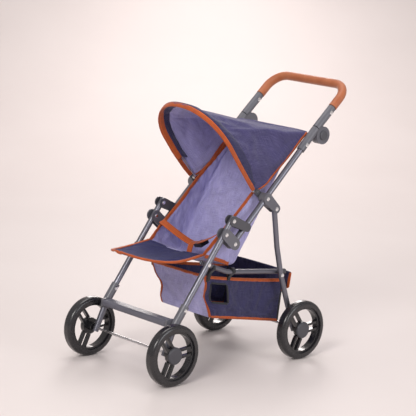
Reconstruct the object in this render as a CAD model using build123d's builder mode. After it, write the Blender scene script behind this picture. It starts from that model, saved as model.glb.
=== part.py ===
"""Doll stroller: a folding tube frame with a sling seat, canopy, basket and four wheels.

Millimetres. +X is the child's left, the stroller faces -Y and +Z is up. The origin is on the
ground, midway between the axles, on the middle plane. Side-view points are (y, z) pairs.
"""

import os
from math import atan2, cos, degrees, radians, sin

from build123d import *

os.makedirs("parts", exist_ok=True)

SIDES = {"left": 1, "right": -1}

# Driving dimensions
wheel_radius = 60.0
axle_y = 171.0
wheel_plane = 126.5
tube_plane = 105.0
bar_plane = 93.0
leg_radius = 6.0
rear_leg_radius = 5.5
bar_radius = 5.0
tube_wall = 1.0
rivet_radius = 2.0
running_gap = 0.05
head_radius = 4.2
head_height = 1.4
axle_radius = 2.5
cut_reach = 12.0
front_leg_angle = 54.1
push_angle = 44.8
handle_angle = 42.5
hoop_angle = 127.0
canopy_back_angle = 41.2

# Thin plates either side of a tube
cheek_inner = leg_radius + 0.3
cheek_outer = leg_radius + 2.6


def along(start, angle, distance, offset=0.0):
    """Point at a distance from start in a side-view direction, offset to the left of it."""
    c, s = cos(radians(angle)), sin(radians(angle))
    return (start[0] + distance * c - offset * s, start[1] + distance * s + offset * c)


# Side-view positions
front_axle_at = (-axle_y, wheel_radius)
rear_axle_at = (axle_y, wheel_radius)
leg_bend = (-147.0, 114.0)
seat_pivot = (-72.0, 220.0)
leg_elbow = along(seat_pivot, front_leg_angle, 68.0)
lock_pivot = along(seat_pivot, front_leg_angle, 99.0)
leg_top = along(seat_pivot, front_leg_angle, 108.0)
push_pivot = (-8.0, 254.0)
leg_pivot = along(push_pivot, push_angle, 118.2, -34.2)
bracket_rivet = along(push_pivot, push_angle, 116.0)
canopy_pivot = along(push_pivot, push_angle, 114.5, 19.0)
hub_pivot = along(push_pivot, push_angle, 300.6, -19.4)
hub_foot = along(push_pivot, push_angle, 300.6)
bar_rear_pivot = (127.0, 174.0)


def save(piece, label):
    piece.part.label = label
    export_step(piece.part, f"parts/{label}.step")


def side_plane(x):
    """Plane at x whose own axes are y and z."""
    return Plane.YZ.offset(x)


def rod_x(at, x_from, x_to, radius, mode=Mode.ADD):
    """Cylinder across the stroller in the current part."""
    with Locations(Location(((x_from + x_to) / 2, at[0], at[1]), (0, 90, 0))):
        Cylinder(radius, abs(x_to - x_from), mode=mode)


def bent_line(points, bend):
    if len(points) == 2:
        return Line(*points)
    return FilletPolyline(*points, radius=bend)


def side_tube(x, points, outer, inner, bend=40.0):
    """Round tube in a side plane, along straight runs with rounded bends."""
    with BuildPart() as tube:
        with BuildLine(side_plane(x)) as path:
            bent_line(points, bend)
        with BuildSketch(Plane(path.line @ 0, z_dir=path.line % 0)):
            Circle(outer)
            Circle(inner, mode=Mode.SUBTRACT)
        sweep(path=path.line)
    return tube


def drilled(tube, x, holes, reach):
    """The tube with cross holes, each (side-view point, radius)."""
    with BuildPart() as piece:
        add(tube.part)
        for at, radius in holes:
            rod_x(at, x - reach, x + reach, radius, Mode.SUBTRACT)
    return piece


def rivet(at, x_one, x_two):
    """Rivet across the stroller with a bevelled head outside each of its two faces."""
    low, high = min(x_one, x_two), max(x_one, x_two)
    rod_x(at, low, high, rivet_radius)
    for face, out in ((low, -1), (high, 1)):
        with Locations(Location((face + out * head_height / 2, *at), (0, out * 90, 0))):
            Cone(head_radius, head_radius * 0.6, head_height)


# Front legs, their plastic sleeves and the footrest
leg_foot = along(front_axle_at, 66.0, -7.0)
sleeve_low = along(leg_bend, 66.0, -15.0)
sleeve_high = along(leg_bend, front_leg_angle, 38.0)
sleeve_rivet = along(leg_bend, front_leg_angle, 29.0)
sleeve_radius = 8.3
footrest_at = (-154.0, 113.0)
footrest_depth = 24.0
footrest_height = 13.0
footrest_half = 93.0
socket_end = 100.0

for side, sign in SIDES.items():
    x = sign * tube_plane
    leg = side_tube(x, [leg_foot, leg_bend, leg_top], leg_radius, leg_radius - tube_wall)
    leg = drilled(leg, x, [
        (front_axle_at, axle_radius),
        (sleeve_rivet, rivet_radius),
        (seat_pivot, rivet_radius),
        (leg_elbow, rivet_radius),
        (lock_pivot, rivet_radius),
    ], leg_radius + 2)
    save(leg, f"front_leg_{side}")

    collar = side_tube(x, [sleeve_low, leg_bend, sleeve_high], sleeve_radius, leg_radius)
    with BuildPart() as sleeve:
        with BuildSketch(side_plane(sign * footrest_half)):
            with Locations(footrest_at):
                RectangleRounded(footrest_depth - 1, footrest_height + 3, 5)
        extrude(amount=sign * (socket_end - footrest_half))
        with BuildLine(side_plane(x)) as clear_path:
            bent_line([sleeve_low, leg_bend, sleeve_high], 40.0)
        with BuildSketch(Plane(clear_path.line @ 0, z_dir=clear_path.line % 0)):
            Circle(leg_radius + 0.01)
        sweep(path=clear_path.line, mode=Mode.SUBTRACT)
        add(collar.part)
        rod_x(sleeve_rivet, x - cut_reach, x + cut_reach, rivet_radius, Mode.SUBTRACT)
    save(sleeve, f"leg_sleeve_{side}")

with BuildPart() as footrest:
    with BuildSketch(side_plane(-footrest_half)):
        with Locations(footrest_at):
            RectangleRounded(footrest_depth, footrest_height, 4.5)
    extrude(amount=2 * footrest_half)
save(footrest, "footrest")

# Axles run through the leg ends and the wheels
axle_end = 134.0
for label, at in (("front_axle", front_axle_at), ("rear_axle", rear_axle_at)):
    with BuildPart() as axle:
        rod_x(at, -axle_end, axle_end, axle_radius)
    save(axle, label)

# Elbow brackets: two cheeks and a spacer, fixed to the front leg, holding the push tube's pivot
elbow_spacer = ((leg_elbow[0] + push_pivot[0]) / 2, (leg_elbow[1] + push_pivot[1]) / 2)

for side, sign in SIDES.items():
    x = sign * tube_plane
    with BuildPart() as elbow:
        for inner, outer in ((-cheek_outer, -cheek_inner), (cheek_inner, cheek_outer)):
            with BuildSketch(side_plane(x + inner)):
                with Locations(leg_elbow, push_pivot):
                    Circle(11.5)
                make_hull()
            extrude(amount=outer - inner)
        rod_x(elbow_spacer, x - cheek_inner, x + cheek_inner, 3.5)
        for at in (leg_elbow, push_pivot):
            rod_x(at, x - cut_reach, x + cut_reach, rivet_radius, Mode.SUBTRACT)
    save(elbow, f"elbow_bracket_{side}")

# Frame locks: each turns on the leg top and drops over the push tube
lock_grip = along(push_pivot, push_angle, 42.4)
lock_length = ((lock_grip[0] - lock_pivot[0]) ** 2 + (lock_grip[1] - lock_pivot[1]) ** 2) ** 0.5
lock_angle = -22.5
web_centre = along(lock_pivot, lock_angle, 21.0)

for side, sign in SIDES.items():
    x = sign * tube_plane
    with BuildPart() as lock:
        for inner, outer in ((-cheek_outer, -cheek_inner), (cheek_inner, cheek_outer)):
            with BuildSketch(side_plane(x + inner)):
                with Locations(lock_pivot):
                    Circle(10.0)
                with Locations(lock_grip):
                    Circle(8.5)
                make_hull()
            extrude(amount=outer - inner)
        with BuildSketch(side_plane(x - cheek_inner)):
            with Locations(Location((web_centre[0], web_centre[1], 0), lock_angle)):
                Rectangle(10, 15)
        extrude(amount=2 * cheek_inner)
        rod_x(lock_pivot, x - cut_reach, x + cut_reach, rivet_radius + running_gap, Mode.SUBTRACT)
    save(lock, f"frame_lock_{side}")

# Push tubes with the rear-leg brackets, canopy clips and lower hub halves
push_end = along(push_pivot, push_angle, 282.0)
push_start = along(push_pivot, push_angle, -5.0)
hub_arm_start = along(push_pivot, push_angle, 243.0)
hub_arm_end = along(push_pivot, push_angle, 300.0)
hub_rivet = along(push_pivot, push_angle, 258.0)
hub_radius = 18.0
hub_clear = hub_radius + 0.5
hub_split = 104.5
hub_half_gap = 0.2
hub_inner = 96.0
hub_outer = 113.5
hub_pin_radius = 3.0
arm_radius = 8.4
button_radius = 10.0
button_travel = 3.0
button_pocket = 5.0

for side, sign in SIDES.items():
    x = sign * tube_plane
    tube = side_tube(x, [push_start, push_end], leg_radius, leg_radius - tube_wall)
    tube = drilled(tube, x, [
        (push_pivot, rivet_radius + running_gap),
        (bracket_rivet, rivet_radius),
        (hub_rivet, rivet_radius),
    ], leg_radius + 2)
    save(tube, f"push_tube_{side}")

    with BuildPart() as bracket:
        with BuildSketch(side_plane(x - cheek_outer)):
            with Locations(bracket_rivet):
                Circle(11.0)
            with Locations(leg_pivot):
                Circle(8.5)
            make_hull()
        extrude(amount=2 * cheek_outer)
        rod_x(leg_pivot, x - cheek_inner + 0.3, x + cheek_inner - 0.3, 19.0, Mode.SUBTRACT)
        rod_x(bracket_rivet, x - cut_reach, x + cut_reach, rivet_radius, Mode.SUBTRACT)
        rod_x(leg_pivot, x - cut_reach, x + cut_reach, rivet_radius, Mode.SUBTRACT)
        with BuildLine(side_plane(x)) as push_line:
            Line(push_start, push_end)
        with BuildSketch(Plane(push_line.line @ 0, z_dir=push_line.line % 0)):
            Circle(leg_radius)
        sweep(path=push_line.line, mode=Mode.SUBTRACT)
    save(bracket, f"leg_bracket_{side}")

    with BuildPart() as clip:
        clip_face = sign * (tube_plane - cheek_outer)
        with BuildSketch(side_plane(clip_face)):
            with Locations(bracket_rivet):
                Circle(6.5)
            with Locations(canopy_pivot):
                Circle(6.0)
            make_hull()
        extrude(amount=-sign * 3.0)
        rod_x(bracket_rivet, clip_face - cut_reach, clip_face + cut_reach, rivet_radius, Mode.SUBTRACT)
        rod_x(canopy_pivot, clip_face - sign * 3, clip_face + sign * 1.5, 6.0)
        rod_x(canopy_pivot, clip_face - cut_reach, clip_face + cut_reach,
              rivet_radius + running_gap, Mode.SUBTRACT)
    save(clip, f"canopy_clip_{side}")

    arm = side_tube(x, [hub_arm_start, hub_arm_end], arm_radius, leg_radius)
    with BuildPart() as hub_lower:
        add(arm.part)
        rod_x(hub_pivot, sign * hub_inner, sign * (hub_split - hub_half_gap), hub_radius)
        with BuildLine(side_plane(x)) as push_line:
            Line(push_start, push_end)
        with BuildSketch(Plane(push_line.line @ 0, z_dir=push_line.line % 0)):
            Circle(leg_radius)
        sweep(path=push_line.line, mode=Mode.SUBTRACT)
        rod_x(hub_pivot, sign * (hub_split - hub_half_gap), sign * 130, hub_clear, Mode.SUBTRACT)
        rod_x(hub_pivot, sign * 90, sign * 110, hub_pin_radius + running_gap, Mode.SUBTRACT)
        rod_x(hub_rivet, x - cut_reach, x + cut_reach, rivet_radius, Mode.SUBTRACT)
    save(hub_lower, f"hub_lower_{side}")

# Handle: upper hub halves, a U tube between them and a foam grip over its top
handle_plane = Plane(origin=(0, *hub_foot), x_dir=(1, 0, 0),
                     z_dir=(0, -sin(radians(handle_angle)), cos(radians(handle_angle))))
handle_reach = 120.5
handle_bend = 37.0
stub_start = 1.0
stub_end = 58.0
handle_tube_start = 14.0
handle_rivet = along(hub_foot, handle_angle, 46.0)
grip_start = 60.0
grip_radius = 9.0


def handle_path(start):
    """U path in the handle's own plane, from one arm round the top to the other."""
    return FilletPolyline(
        (tube_plane, start), (tube_plane, handle_reach),
        (-tube_plane, handle_reach), (-tube_plane, start), radius=handle_bend)


def handle_loop(start, outer, inner):
    with BuildPart() as loop:
        with BuildLine(handle_plane) as path:
            handle_path(start)
        with BuildSketch(Plane(path.line @ 0, z_dir=path.line % 0)):
            Circle(outer)
            Circle(inner, mode=Mode.SUBTRACT)
        sweep(path=path.line)
    return loop


with BuildPart() as handle_tube:
    add(handle_loop(handle_tube_start, leg_radius, leg_radius - tube_wall).part)
    for sign in SIDES.values():
        rod_x(handle_rivet, sign * 95, sign * 115, rivet_radius, Mode.SUBTRACT)
save(handle_tube, "handle_tube")

save(handle_loop(grip_start, grip_radius, leg_radius), "handle_grip")

for side, sign in SIDES.items():
    x = sign * tube_plane
    stub = side_tube(x, [along(hub_foot, handle_angle, stub_start),
                         along(hub_foot, handle_angle, stub_end)], arm_radius, leg_radius)
    with BuildPart() as hub_upper:
        add(stub.part)
        rod_x(hub_pivot, sign * (hub_split + hub_half_gap), sign * hub_outer, hub_radius)
        with BuildLine(side_plane(x)) as stub_line:
            Line(along(hub_foot, handle_angle, handle_tube_start),
                 along(hub_foot, handle_angle, stub_end))
        with BuildSketch(Plane(stub_line.line @ 0, z_dir=stub_line.line % 0)):
            Circle(leg_radius)
        sweep(path=stub_line.line, mode=Mode.SUBTRACT)
        rod_x(hub_pivot, sign * 80, sign * (hub_split + hub_half_gap), hub_clear, Mode.SUBTRACT)
        rod_x(hub_pivot, sign * (hub_outer - button_pocket), sign * 130,
              button_radius + 0.15, Mode.SUBTRACT)
        rod_x(hub_pivot, sign * 100, sign * 120, hub_pin_radius, Mode.SUBTRACT)
        rod_x(handle_rivet, x - cut_reach, x + cut_reach, rivet_radius, Mode.SUBTRACT)
    save(hub_upper, f"hub_upper_{side}")

    with BuildPart() as button:
        rod_x(hub_pivot, sign * (hub_outer - button_pocket + button_travel + 0.3),
              sign * (hub_outer + 3.5), button_radius)
        rim = button.edges().filter_by(GeomType.CIRCLE).sort_by(Axis.X)[-1 if sign > 0 else 0]
        fillet(rim, 2.0)
    save(button, f"hub_button_{side}")

with BuildPart() as hub_pins:
    for sign in SIDES.values():
        rod_x(hub_pivot, sign * (hub_inner + 1), sign * (hub_outer - button_pocket),
              hub_pin_radius)
save(hub_pins, "hub_pins")

# Rear legs hang from the brackets and carry the rear axle
rear_leg_top = along(leg_pivot, -80.5, -5.0)
rear_leg_knee = along(leg_pivot, -80.5, 79.0)
rear_leg_foot = along(rear_axle_at, -70.0, 7.0)
rear_bar_rivet = (128.6, 174.0)

for side, sign in SIDES.items():
    x = sign * tube_plane
    leg = side_tube(x, [rear_leg_top, rear_leg_knee, rear_bar_rivet, rear_leg_foot],
                    rear_leg_radius, rear_leg_radius - tube_wall, 60.0)
    leg = drilled(leg, x, [
        (leg_pivot, rivet_radius + running_gap),
        (rear_bar_rivet, rivet_radius),
        (rear_axle_at, axle_radius),
    ], rear_leg_radius + 2)
    save(leg, f"rear_leg_{side}")

# Seat bars: inboard of the legs, turning on the front legs
bar_front = along(seat_pivot, 158.0, 6.0)
bar_bend = (-10.0, 195.5)
bar_end = (146.0, 177.0)
bar_tilt = atan2(bar_end[1] - bar_bend[1], bar_end[0] - bar_bend[0])
cap_start = along(bar_end, degrees(bar_tilt), -10.0)
cap_end = 4.0
cap_wall = 0.9

for side, sign in SIDES.items():
    bar = side_tube(sign * bar_plane, [bar_front, bar_bend, bar_end],
                    bar_radius, bar_radius - tube_wall)
    bar = drilled(bar, sign * bar_plane, [(seat_pivot, rivet_radius + running_gap)],
                  bar_radius + 2)
    save(bar, f"seat_bar_{side}")

with BuildPart() as bar_caps:
    for sign in SIDES.values():
        add(side_tube(sign * bar_plane, [cap_start, along(bar_end, degrees(bar_tilt), cap_end)],
                      bar_radius + cap_wall, bar_radius).part)
        end_plane = Plane((sign * bar_plane, *bar_end), z_dir=(0, cos(bar_tilt), sin(bar_tilt)))
        with BuildSketch(end_plane):
            Circle(bar_radius + 0.5)
        extrude(amount=cap_end)
save(bar_caps, "bar_caps")

# Rivets, one node for each body they turn with
with BuildPart() as front_rivets:
    for sign in SIDES.values():
        inboard = sign * (tube_plane - cheek_outer)
        outboard = sign * (tube_plane + cheek_outer)
        for at in (leg_elbow, push_pivot, lock_pivot):
            rivet(at, inboard, outboard)
        rivet(sleeve_rivet, sign * (tube_plane - sleeve_radius),
              sign * (tube_plane + sleeve_radius))
        rivet(seat_pivot, sign * (bar_plane - bar_radius), sign * (tube_plane + leg_radius))
save(front_rivets, "front_rivets")

with BuildPart() as push_rivets:
    for sign in SIDES.values():
        outboard = sign * (tube_plane + cheek_outer)
        rivet(leg_pivot, sign * (tube_plane - cheek_outer), outboard)
        rivet(bracket_rivet, sign * (tube_plane - cheek_outer - 3.0), outboard)
        rivet(hub_rivet, sign * (tube_plane - arm_radius), sign * (tube_plane + arm_radius))
save(push_rivets, "push_rivets")

with BuildPart() as handle_rivets:
    for sign in SIDES.values():
        rivet(handle_rivet, sign * (tube_plane - arm_radius), sign * (tube_plane + arm_radius))
save(handle_rivets, "handle_rivets")

rivet_stub = 0.4

with BuildPart() as rear_rivets:
    for sign in SIDES.values():
        rod_x(rear_bar_rivet, sign * (tube_plane - rear_leg_radius - rivet_stub),
              sign * (tube_plane + rear_leg_radius), rivet_radius)
        with Locations(Location((sign * (tube_plane + rear_leg_radius + head_height / 2),
                                 *rear_bar_rivet), (0, sign * 90, 0))):
            Cone(head_radius, head_radius * 0.6, head_height)
save(rear_rivets, "rear_rivets")

# Wheels: tyre, spoked rim turning on the axle, hub cap
tyre_width = 22.0
tyre_inner = 48.0
rim_inner = 43.0
rim_width = 15.0
spoke_width = 5.0
spoke_offset = 7.0
spoke_depth = 8.0
hub_boss_radius = 8.5
hub_face_radius = 17.0
hub_boss_inner = 112.2
cap_height = 4.5

for corner, at in (("front", front_axle_at), ("rear", rear_axle_at)):
    for side, sign in SIDES.items():
        x = sign * wheel_plane
        with BuildPart() as tyre:
            with BuildSketch(side_plane(x - tyre_width / 2)):
                with Locations(at):
                    Circle(wheel_radius)
                    Circle(tyre_inner, mode=Mode.SUBTRACT)
            extrude(amount=tyre_width)
            treads = tyre.edges().filter_by(GeomType.CIRCLE).filter_by(
                lambda edge: edge.radius > tyre_inner + 1)
            fillet(treads, 7.0)
        save(tyre, f"tyre_{corner}_{side}")

        with BuildPart() as rim:
            with BuildSketch(side_plane(x - rim_width / 2)):
                with Locations(at):
                    Circle(tyre_inner)
                    Circle(rim_inner, mode=Mode.SUBTRACT)
            extrude(amount=rim_width)
            spokes_from = min(sign * (wheel_plane - 2), sign * (wheel_plane - 2 + spoke_depth))
            with BuildSketch(side_plane(spokes_from)):
                with Locations(at):
                    Circle(hub_face_radius)
                    with PolarLocations(0, 3, start_angle=5):
                        with Locations((30, spoke_offset), (30, -spoke_offset)):
                            Rectangle(28, spoke_width)
            extrude(amount=spoke_depth)
            rod_x(at, sign * hub_boss_inner, sign * (wheel_plane + 6), hub_boss_radius)
            rod_x(at, sign * 100, sign * 150, axle_radius + running_gap, Mode.SUBTRACT)
        save(rim, f"rim_{corner}_{side}")

        cap_face = wheel_plane - 2 + spoke_depth
        with BuildPart() as cap:
            rod_x(at, sign * cap_face, sign * (cap_face + cap_height), hub_face_radius)
            crown = cap.edges().filter_by(GeomType.CIRCLE).sort_by(Axis.X)
            fillet(crown[-1 if sign > 0 else 0], 3.5)
            rod_x(at, sign * 100, sign * (axle_end + 0.3), axle_radius + running_gap,
                  Mode.SUBTRACT)
        save(cap, f"hub_cap_{corner}_{side}")

# Canopy: a wire hoop on the clips and a cover from the hoop back to the push tubes
hoop_foot_half = 86.0
hoop_half = 93.0
hoop_flare = 55.0
hoop_height = 210.0
hoop_wire = 1.6
hoop_bend = 88.0
hoop_boss_start = 84.8
hoop_boss_end = 92.9
hoop_pin_end = 97.5
hoop_plane = Plane(origin=(0, *canopy_pivot), x_dir=(1, 0, 0),
                   z_dir=(0, -sin(radians(hoop_angle)), cos(radians(hoop_angle))))

with BuildPart() as canopy_hoop:
    with BuildLine(hoop_plane) as hoop_path:
        FilletPolyline((hoop_foot_half, 0), (hoop_half, hoop_flare), (hoop_half, hoop_height),
                       (-hoop_half, hoop_height), (-hoop_half, hoop_flare), (-hoop_foot_half, 0),
                       radius=hoop_bend)
    with BuildSketch(Plane(hoop_path.line @ 0, z_dir=hoop_path.line % 0)):
        Circle(hoop_wire)
    sweep(path=hoop_path.line)
    for sign in SIDES.values():
        rod_x(canopy_pivot, sign * hoop_boss_start, sign * hoop_boss_end, 4.5)
        rod_x(canopy_pivot, sign * hoop_foot_half, sign * hoop_pin_end, rivet_radius)
save(canopy_hoop, "canopy_hoop")

cover_front_half = 98.0
cover_back_half = 90.5
cover_wall = 1.6
cover_front = 215.0
cover_back = 168.0
cover_front_bend = 92.0
cover_back_bend = 14.0
cover_low = 9.6
cover_open = 2.0


def cover_section(angle, outer_half, inset, low, height, bend):
    """U-shaped section of the canopy, standing over the pivot line at an angle."""
    half = outer_half - inset
    plane = Plane(origin=(0, *canopy_pivot), x_dir=(1, 0, 0),
                  z_dir=(0, -sin(radians(angle)), cos(radians(angle))))
    with BuildSketch(plane) as section:
        with BuildLine():
            outline = FilletPolyline((half, low), (half, height - inset), (-half, height - inset),
                                     (-half, low), radius=bend - inset)
            Line(outline @ 0, outline @ 1)
        make_face()
    return section.sketch


def cover_body(inset, low):
    return loft([
        cover_section(hoop_angle, cover_front_half, inset, low, cover_front,
                      cover_front_bend),
        cover_section(canopy_back_angle, cover_back_half, inset, low, cover_back,
                      cover_back_bend),
    ], ruled=True, mode=Mode.PRIVATE)


with BuildPart() as canopy_cover:
    add(cover_body(0, cover_low))
    add(cover_body(cover_wall, cover_open), mode=Mode.SUBTRACT)
save(canopy_cover, "canopy_cover")

# Seat sling: bottom, back and two sides
cloth = 2.0
seat_front = (-66.0, 230.0)
seat_rear = (20.0, 205.0)
seat_back_top = (137.0, 398.0)
seat_head_top = (172.0, 433.0)
wing_top = (61.0, 346.0)
seat_half = 81.5
back_foot = (21.5, 205.6)
wing_outline = [(-66.0, 231.0), wing_top, (136.0, 397.0), (83.0, 303.0), (21.0, 203.5)]


def cloth_panel(points, x_from, x_to):
    with BuildPart() as panel:
        with BuildSketch(side_plane(min(x_from, x_to))):
            with BuildLine():
                Polyline(*points, close=True)
            make_face()
        extrude(amount=abs(x_to - x_from))
    return panel


def strip(start, end, thickness):
    """Thin four-cornered outline along a side-view line, on its left."""
    length = ((end[0] - start[0]) ** 2 + (end[1] - start[1]) ** 2) ** 0.5
    ahead = ((end[0] - start[0]) / length, (end[1] - start[1]) / length)
    left = (-ahead[1] * thickness, ahead[0] * thickness)
    far_end = (end[0] + left[0], end[1] + left[1])
    far_start = (start[0] + left[0], start[1] + left[1])
    return [start, end, far_end, far_start]


save(cloth_panel(strip(seat_front, seat_rear, -cloth), -seat_half, seat_half), "seat_bottom")
with BuildPart() as seat_back:
    for start, end in ((back_foot, seat_back_top), (seat_back_top, seat_head_top)):
        add(cloth_panel(strip(start, end, cloth), -seat_half, seat_half).part)
save(seat_back, "seat_back")
for side, sign in SIDES.items():
    wing = cloth_panel(wing_outline, sign * (seat_half + 0.4), sign * (seat_half + 0.4 + cloth))
    save(wing, f"seat_wing_{side}")

# Calf flap: a rounded tongue ahead of the seat
flap_half = 76.0
flap_root = -67.5
flap_tip = -206.0
flap_level = 229.0
flap_thickness = 4.0

with BuildPart() as calf_flap:
    with BuildSketch(Plane.XY.offset(flap_level)):
        with BuildLine():
            Line((-flap_half, flap_tip + flap_half), (-flap_half, flap_root))
            Line((-flap_half, flap_root), (flap_half, flap_root))
            Line((flap_half, flap_root), (flap_half, flap_tip + flap_half))
            ThreePointArc((flap_half, flap_tip + flap_half), (0, flap_tip),
                          (-flap_half, flap_tip + flap_half))
        make_face()
    extrude(amount=flap_thickness)
save(calf_flap, "calf_flap")

# Harness: lap belt across the seat, crotch strap and buckle
belt_end = (-32.0, 268.0)
belt_low = (-20.0, 236.0)
belt_width = 15.0
strap_thickness = 1.6
belt_drop = ((belt_end[0] - belt_low[0]) ** 2 + (belt_end[1] - belt_low[1]) ** 2) ** 0.5
belt_up = (0, (belt_end[0] - belt_low[0]) / belt_drop, (belt_end[1] - belt_low[1]) / belt_drop)
belt_plane = Plane(origin=(0, *belt_low), x_dir=(1, 0, 0), z_dir=(0, -belt_up[2], belt_up[1]))

with BuildPart() as lap_belt:
    with BuildSketch(belt_plane):
        with BuildLine():
            belt_half = seat_half - 1.0
            top = ThreePointArc((-belt_half, belt_drop), (0, strap_thickness),
                                (belt_half, belt_drop))
            low = ThreePointArc((-belt_half, belt_drop - strap_thickness), (0, 0),
                                (belt_half, belt_drop - strap_thickness))
            Line(top @ 0, low @ 0)
            Line(top @ 1, low @ 1)
        make_face()
    extrude(amount=belt_width / 2, both=True)
save(lap_belt, "lap_belt")

save(cloth_panel(strip((-30.5, 222.0), (-31.5, 246.0), strap_thickness), -7.0, 7.0),
     "crotch_strap")

with BuildPart() as belt_buckle:
    with BuildSketch(belt_plane):
        with Locations(Location((30, 5.5, 0), 10)):
            RectangleRounded(24, 7, 2.5)
    extrude(amount=belt_width / 2 + 2.5, both=True)
save(belt_buckle, "belt_buckle")

# Basket: an open bag under the seat, hung from the seat bars by four loops
basket_half = 80.0
basket_outer = [(-55.0, 184.0), (-5.0, 175.0), (40.0, 169.0), (140.0, 161.0), (158.0, 172.0),
                (150.0, 72.0), (-30.0, 103.0)]
basket_hollow = [(-54.0, 200.0), (159.0, 200.0), (147.8, 74.6), (-28.2, 105.0)]
basket_window = [(-45.0, 172.0), (1.0, 167.0), (0.0, 133.0), (-34.0, 136.0)]
loop_places = ((-38.0, 176.0, 204.0), (10.0, 170.0, 190.0))
loop_face = 80.3
loop_thickness = 1.7
loop_width = 9.0

with BuildPart() as basket:
    add(cloth_panel(basket_outer, -basket_half, basket_half).part)
    for points, half in ((basket_hollow, basket_half - cloth), (basket_window, basket_half + 1)):
        add(cloth_panel(points, -half, half).part, mode=Mode.SUBTRACT)
save(basket, "basket")

with BuildPart() as basket_loops:
    for sign in SIDES.values():
        inner_face = min(sign * loop_face, sign * (loop_face + loop_thickness))
        for y, low, high in loop_places:
            with BuildSketch(side_plane(inner_face)):
                with Locations((y, (low + high) / 2)):
                    Rectangle(loop_width, high - low)
            extrude(amount=loop_thickness)
save(basket_loops, "basket_loops")
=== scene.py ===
"""Looks of the doll stroller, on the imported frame.

Metres. +X is the doll's left, the stroller faces -Y, +Z is up, the ground is z = 0.
Soft goods are built as curved grids with measured edges, relaxed by cloth simulation, then bound.
Side-view points are (y, z) pairs.
"""

from math import cos, pi, radians, sin

import bmesh
import bpy
import numpy as np
from mathutils import Matrix, Vector


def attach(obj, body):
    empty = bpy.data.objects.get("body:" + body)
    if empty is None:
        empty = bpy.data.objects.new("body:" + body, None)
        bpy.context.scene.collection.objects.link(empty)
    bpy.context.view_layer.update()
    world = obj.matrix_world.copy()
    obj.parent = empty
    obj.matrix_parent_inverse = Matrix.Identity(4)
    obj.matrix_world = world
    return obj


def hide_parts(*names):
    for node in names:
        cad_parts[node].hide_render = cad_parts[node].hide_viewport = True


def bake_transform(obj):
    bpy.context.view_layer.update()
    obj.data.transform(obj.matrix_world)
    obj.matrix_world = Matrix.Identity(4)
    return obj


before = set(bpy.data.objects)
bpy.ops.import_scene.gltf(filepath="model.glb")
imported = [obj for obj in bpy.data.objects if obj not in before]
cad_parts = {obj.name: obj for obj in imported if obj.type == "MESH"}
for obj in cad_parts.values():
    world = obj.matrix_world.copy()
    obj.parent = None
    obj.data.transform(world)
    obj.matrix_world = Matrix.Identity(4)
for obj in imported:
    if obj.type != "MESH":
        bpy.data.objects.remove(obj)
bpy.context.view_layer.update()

SIDES = {"left": 1.0, "right": -1.0}
scene = bpy.context.scene
MIRROR = np.array([-1.0, 1.0, 1.0])
CLOTH = 0.0018  # thickness of the cloth
TRIM_HALF = CLOTH / 2 + 0.0007  # half thickness of a binding round it


# ---------------------------------------------------------------- camera, light and floor

CAMERA_AT = Vector((2.4363, -2.2145, 0.9589))
CAMERA_AZIMUTH = radians(47.49)
CAMERA_ELEVATION = radians(11.22)
CAMERA_ROLL = radians(2.64)
CAMERA_LENS = 146.36


def make_camera():
    data = bpy.data.cameras.new("camera")
    data.lens = CAMERA_LENS
    data.sensor_width = 36.0
    data.clip_start, data.clip_end = 0.05, 50.0
    camera = bpy.data.objects.new("camera", data)
    scene.collection.objects.link(camera)
    ahead = Vector((-sin(CAMERA_AZIMUTH) * cos(CAMERA_ELEVATION),
                    cos(CAMERA_AZIMUTH) * cos(CAMERA_ELEVATION), -sin(CAMERA_ELEVATION)))
    turn = ahead.to_track_quat("-Z", "Y").to_matrix() @ Matrix.Rotation(CAMERA_ROLL, 3, "Z")
    camera.matrix_world = Matrix.Translation(CAMERA_AT) @ turn.to_4x4()
    scene.camera = camera


def area_light(name, at, target, size, power, colour):
    data = bpy.data.lights.new(name, "AREA")
    data.shape = "DISK"
    data.size = size
    data.energy = power
    data.color = colour
    lamp = bpy.data.objects.new(name, data)
    lamp.location = at
    lamp.rotation_euler = (Vector(target) - Vector(at)).to_track_quat("-Z", "Y").to_euler()
    scene.collection.objects.link(lamp)


def make_lights():
    middle = (0, 0, 0.28)
    area_light("key", (1.2, -2.6, 2.2), middle, 1.3, 56, (1.0, 0.97, 0.94))
    area_light("fill", (2.8, 0.6, 1.1), middle, 1.8, 26, (0.95, 0.96, 1.0))
    area_light("top", (-0.3, 0.3, 2.8), middle, 2.0, 30, (1.0, 0.98, 0.97))
    area_light("back", (-2.2, 2.0, 1.4), middle, 1.2, 26, (1.0, 0.94, 0.92))
    world = bpy.data.worlds.new("world")
    world.use_nodes = True
    background = world.node_tree.nodes["Background"]
    background.inputs["Color"].default_value = (0.92, 0.87, 0.86, 1)
    background.inputs["Strength"].default_value = 0.52
    scene.world = world
    scene.view_settings.view_transform = "Standard"


# ---------------------------------------------------------------- materials

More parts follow.
